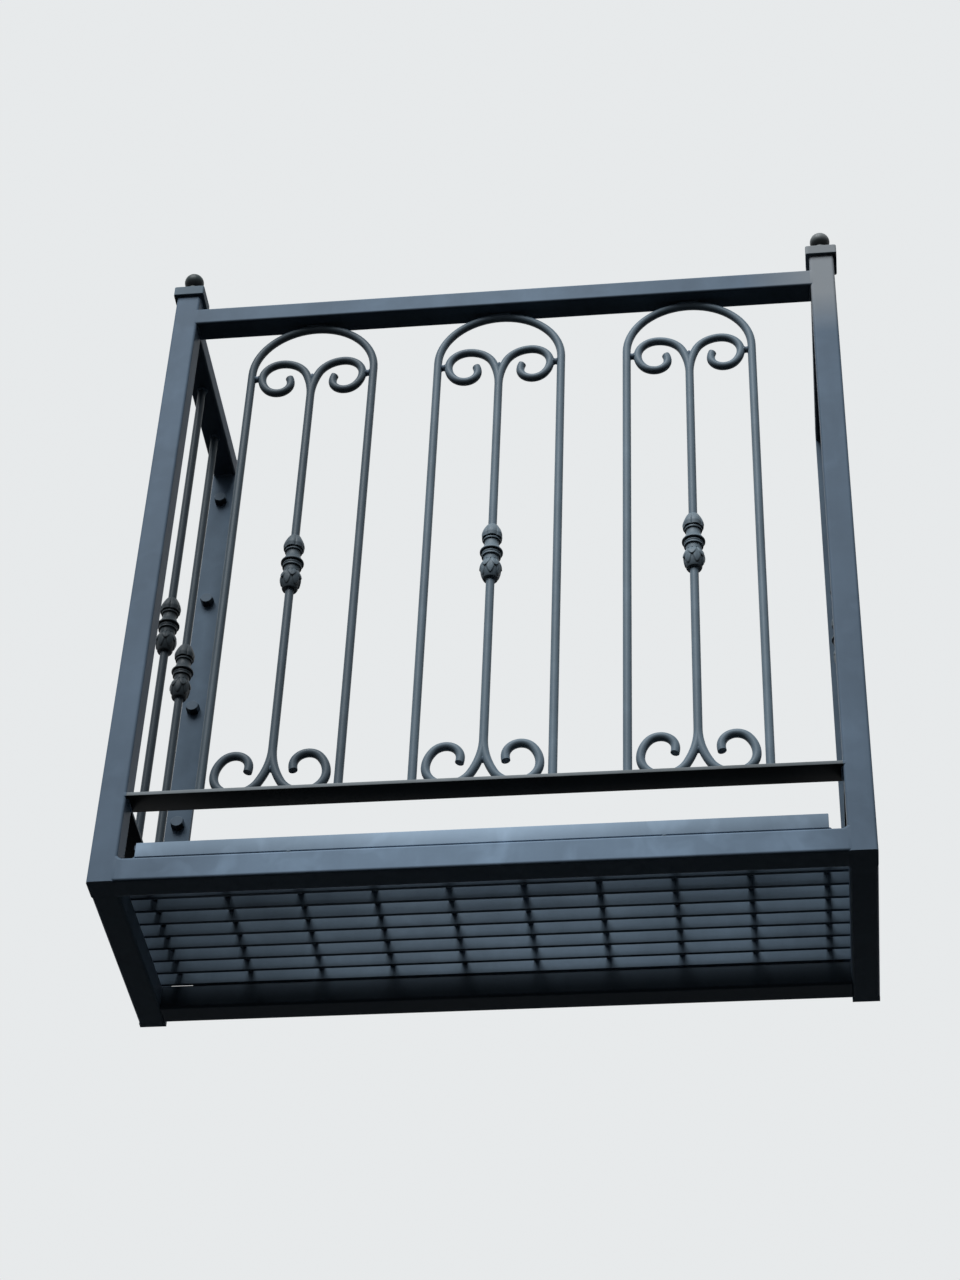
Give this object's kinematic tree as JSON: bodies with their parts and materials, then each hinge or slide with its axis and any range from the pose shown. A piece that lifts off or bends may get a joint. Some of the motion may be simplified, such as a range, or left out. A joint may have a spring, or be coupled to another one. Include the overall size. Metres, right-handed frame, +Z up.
{
  "type": "juliet balcony",
  "caption": "Shallow black metal juliet balcony: square posts with ball caps, arched scroll bars with cast knuckles, bar grating floor and bolted wall plates.",
  "frame": {"origin": "back face of the left wall plate, on its centre line, level with the top of the base tubes", "axes": "+X along the wall to the right as seen from outside, +Y into the wall, +Z up"},
  "size_m": [1.0624, 0.3598, 1.2293],
  "materials": {
    "frame": "satin powder coat",
    "plates": "satin powder coat",
    "bars": "satin powder coat",
    "grating": "satin powder coat",
    "caps": "satin powder coat",
    "knuckles": "satin powder coat"
  },
  "bodies": {
    "root": {"arch_left": "bars", "arch_middle": "bars", "arch_right": "bars", "base_tube_back": "frame", "base_tube_front": "frame", "base_tube_left": "frame", "base_tube_right": "frame", "floor_grating": "grating", "knuckle_left": "knuckles", "knuckle_middle": "knuckles", "knuckle_right": "knuckles", "lower_rail_front": "frame", "lower_rail_left": "frame", "lower_rail_right": "frame", "lower_scrolls_left": "bars", "lower_scrolls_middle": "bars", "lower_scrolls_right": "bars", "post_cap_left": "caps", "post_cap_right": "caps", "post_left": "frame", "post_right": "frame", "side_bar_left_1": "bars", "side_bar_left_2": "bars", "side_bar_right_1": "bars", "side_bar_right_2": "bars", "side_knuckle_left_1": "knuckles", "side_knuckle_left_2": "knuckles", "side_knuckle_right_1": "knuckles", "side_knuckle_right_2": "knuckles", "stem_left": "bars", "stem_middle": "bars", "stem_right": "bars", "top_rail_front": "frame", "top_rail_left": "frame", "top_rail_right": "frame", "upper_scrolls_left": "bars", "upper_scrolls_middle": "bars", "upper_scrolls_right": "bars", "wall_plate_left": "plates", "wall_plate_right": "plates"}
  },
  "joints": []
}
